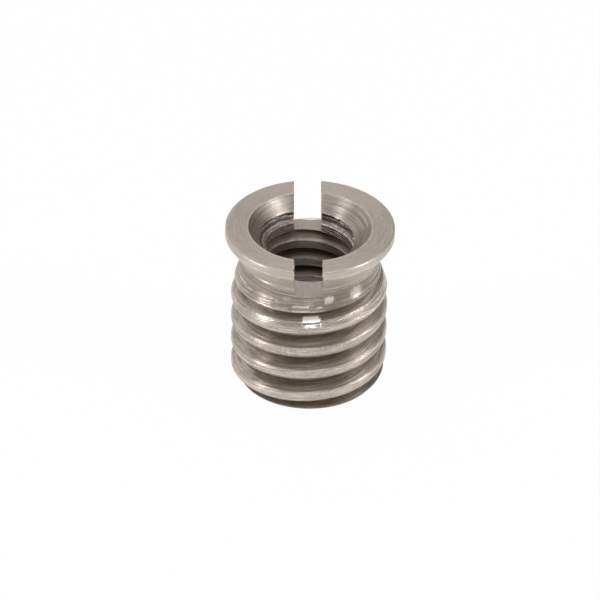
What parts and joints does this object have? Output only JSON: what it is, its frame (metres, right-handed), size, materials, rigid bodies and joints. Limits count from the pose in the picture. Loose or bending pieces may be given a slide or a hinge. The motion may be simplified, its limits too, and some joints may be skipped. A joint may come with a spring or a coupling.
{
  "type": "thread adapter",
  "caption": "Slotted, flanged thread adapter: a reducer bushing that is threaded outside and tapped through its bore.",
  "frame": {"origin": "centre of the plain end, which the part stands on", "axes": "+Z along the bore, from the plain end up to the slotted flange; the driver slot runs along Y"},
  "size_m": [0.01, 0.01, 0.0103],
  "materials": {
    "satin_steel": "turned steel, satin, with fine tool rings"
  },
  "bodies": {
    "root": {"adapter_body": "satin_steel"}
  },
  "joints": []
}
